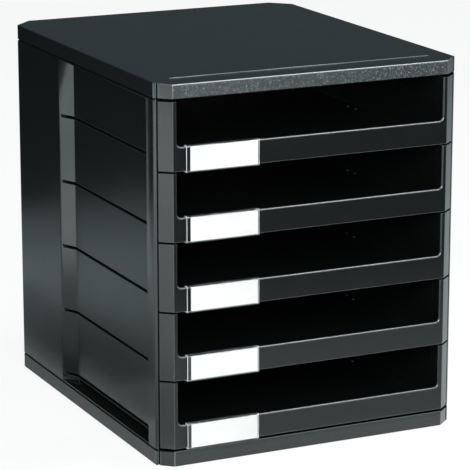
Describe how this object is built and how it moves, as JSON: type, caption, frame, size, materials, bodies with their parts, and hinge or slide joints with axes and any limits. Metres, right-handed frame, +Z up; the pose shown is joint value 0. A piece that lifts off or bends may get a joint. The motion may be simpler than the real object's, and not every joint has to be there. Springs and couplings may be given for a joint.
{
  "type": "desk drawer letter tray",
  "caption": "Free-standing desktop box of stacked open-fronted drawers for letters, with clear label holders on the drawer rails.",
  "frame": {"origin": "middle of the whole, on the ground that the feet stand on", "axes": "+X to the right seen from the front, +Y to the rear, +Z up; the drawers pull out along -Y"},
  "size_m": [0.275, 0.3314, 0.32],
  "materials": {
    "casing": "satin grain",
    "drawer": "satin grain",
    "label_holder": "clear plastic",
    "label_card": "matte card",
    "feet": "matte"
  },
  "bodies": {
    "casing": {"top_cover": "casing", "base_cover": "casing", "left_side_wall": "casing", "right_side_wall": "casing", "rear_wall": "casing", "rubber_feet": "feet"},
    "drawer_1_body": {"drawer_1": "drawer", "label_holder_1": "label_holder", "label_insert_1": "label_card"},
    "drawer_2_body": {"drawer_2": "drawer", "label_holder_2": "label_holder", "label_insert_2": "label_card"},
    "drawer_3_body": {"drawer_3": "drawer", "label_holder_3": "label_holder", "label_insert_3": "label_card"},
    "drawer_4_body": {"drawer_4": "drawer", "label_holder_4": "label_holder", "label_insert_4": "label_card"},
    "drawer_5_body": {"drawer_5": "drawer", "label_holder_5": "label_holder", "label_insert_5": "label_card"}
  },
  "joints": [
    {"name": "drawer_1_slide", "type": "slide", "parent": "casing", "child": "drawer_1_body", "axis": [0, -1, 0], "range_m": [0, 0.222]},
    {"name": "drawer_2_slide", "type": "slide", "parent": "casing", "child": "drawer_2_body", "axis": [0, -1, 0], "range_m": [0, 0.222]},
    {"name": "drawer_3_slide", "type": "slide", "parent": "casing", "child": "drawer_3_body", "axis": [0, -1, 0], "range_m": [0, 0.222]},
    {"name": "drawer_4_slide", "type": "slide", "parent": "casing", "child": "drawer_4_body", "axis": [0, -1, 0], "range_m": [0, 0.222]},
    {"name": "drawer_5_slide", "type": "slide", "parent": "casing", "child": "drawer_5_body", "axis": [0, -1, 0], "range_m": [0, 0.222]}
  ]
}
